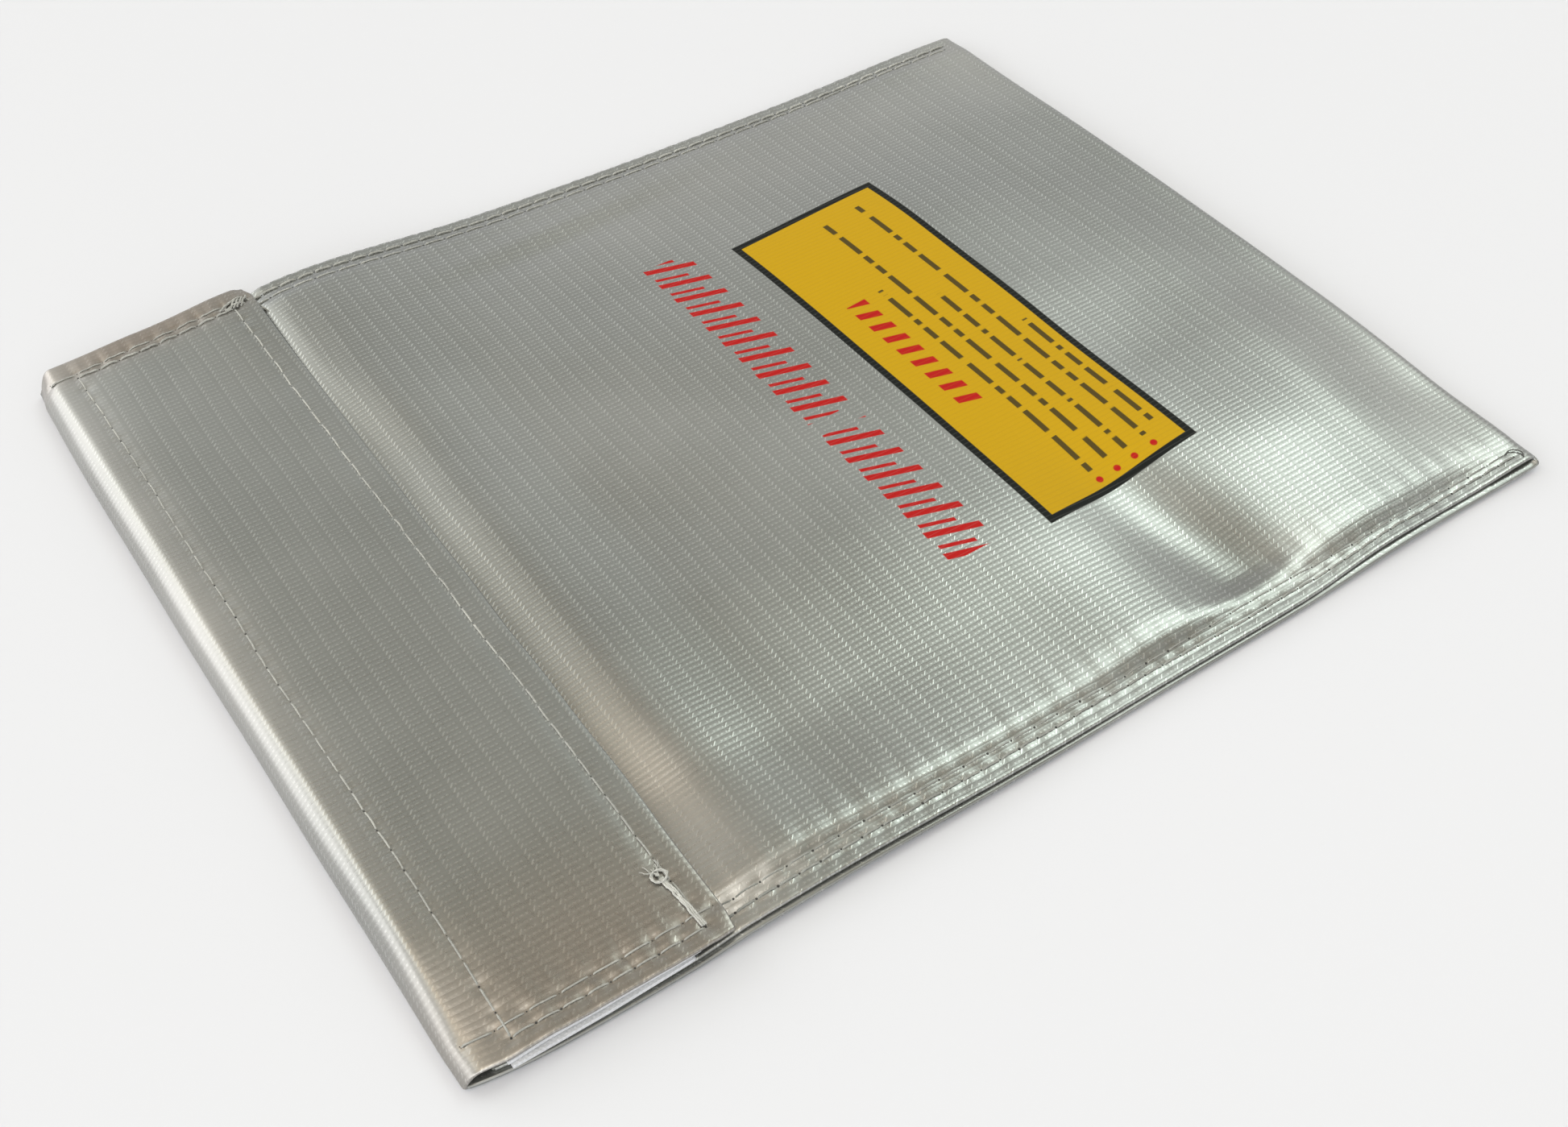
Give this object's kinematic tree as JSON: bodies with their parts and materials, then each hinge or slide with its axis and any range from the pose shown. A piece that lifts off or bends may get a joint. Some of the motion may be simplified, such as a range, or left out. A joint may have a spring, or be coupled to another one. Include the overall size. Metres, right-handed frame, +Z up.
{
  "type": "lipo safe bag",
  "caption": "Flat charging and storage bag of silver-coated woven glass-fibre cloth, folded at the bottom and sewn at the sides, with a fold-over flap closed by hook and loop tape.",
  "frame": {"origin": "middle of the underside, with the bag lying closed on its back", "axes": "+X from the flap fold to the bottom fold, +Y to the bag's right side seen from the front with the flap at the top, +Z up out of the front"},
  "size_m": [0.225, 0.18, 0.008],
  "materials": {
    "silver_cloth": "woven glass-fibre cloth with a shiny silver coating",
    "cloth_inside": "turned-in edges of the same silver-coated cloth",
    "hook_strip": "white hook tape",
    "loop_strip": "white loop tape, soft pile",
    "thread": "light grey sewing thread"
  },
  "bodies": {
    "pocket_back": {"back_panel": "silver_cloth", "bottom_fold": "silver_cloth", "back_hem_left": "cloth_inside", "back_hem_right": "cloth_inside", "front_hem_left": "cloth_inside", "front_hem_right": "cloth_inside", "front_seam_edge_left": "silver_cloth", "front_seam_edge_right": "silver_cloth", "seam_outer_thread_left": "thread", "seam_outer_thread_right": "thread", "seam_inner_thread_left": "thread", "seam_inner_thread_right": "thread"},
    "pocket_front": {"front_panel": "silver_cloth", "mouth_hem": "cloth_inside", "mouth_hem_thread": "thread", "loop_strip": "loop_strip", "loop_box_thread": "thread"},
    "fold_spine": {"mouth_fold": "silver_cloth"},
    "flap": {"flap_panel": "silver_cloth", "flap_side_hem_left": "cloth_inside", "flap_side_hem_right": "cloth_inside", "flap_end_hem": "cloth_inside", "flap_hem_thread_left": "thread", "flap_hem_thread_right": "thread", "hook_strip": "hook_strip", "hook_box_thread": "thread", "thread_knot": "thread", "thread_tail": "thread"}
  },
  "joints": [
    {"name": "flap_lift", "type": "hinge", "parent": "pocket_back", "child": "fold_spine", "pos_m": [-0.1129, 0, 0.0006], "axis": [0, -1, 0], "range_deg": [0, 90]},
    {"name": "flap_turn", "type": "hinge", "parent": "fold_spine", "child": "flap", "pos_m": [-0.1129, 0, 0.0066], "axis": [0, -1, 0], "range_deg": [0, 87]},
    {"name": "mouth_gape", "type": "hinge", "parent": "pocket_back", "child": "pocket_front", "pos_m": [0.1081, 0, 0.0036], "axis": [0, 1, 0], "range_deg": [0, 7]}
  ],
  "couplings": [
    {"joint": "flap_turn", "follows": "flap_lift", "ratio": 0.96},
    {"joint": "mouth_gape", "follows": "flap_lift", "ratio": 0.075}
  ]
}
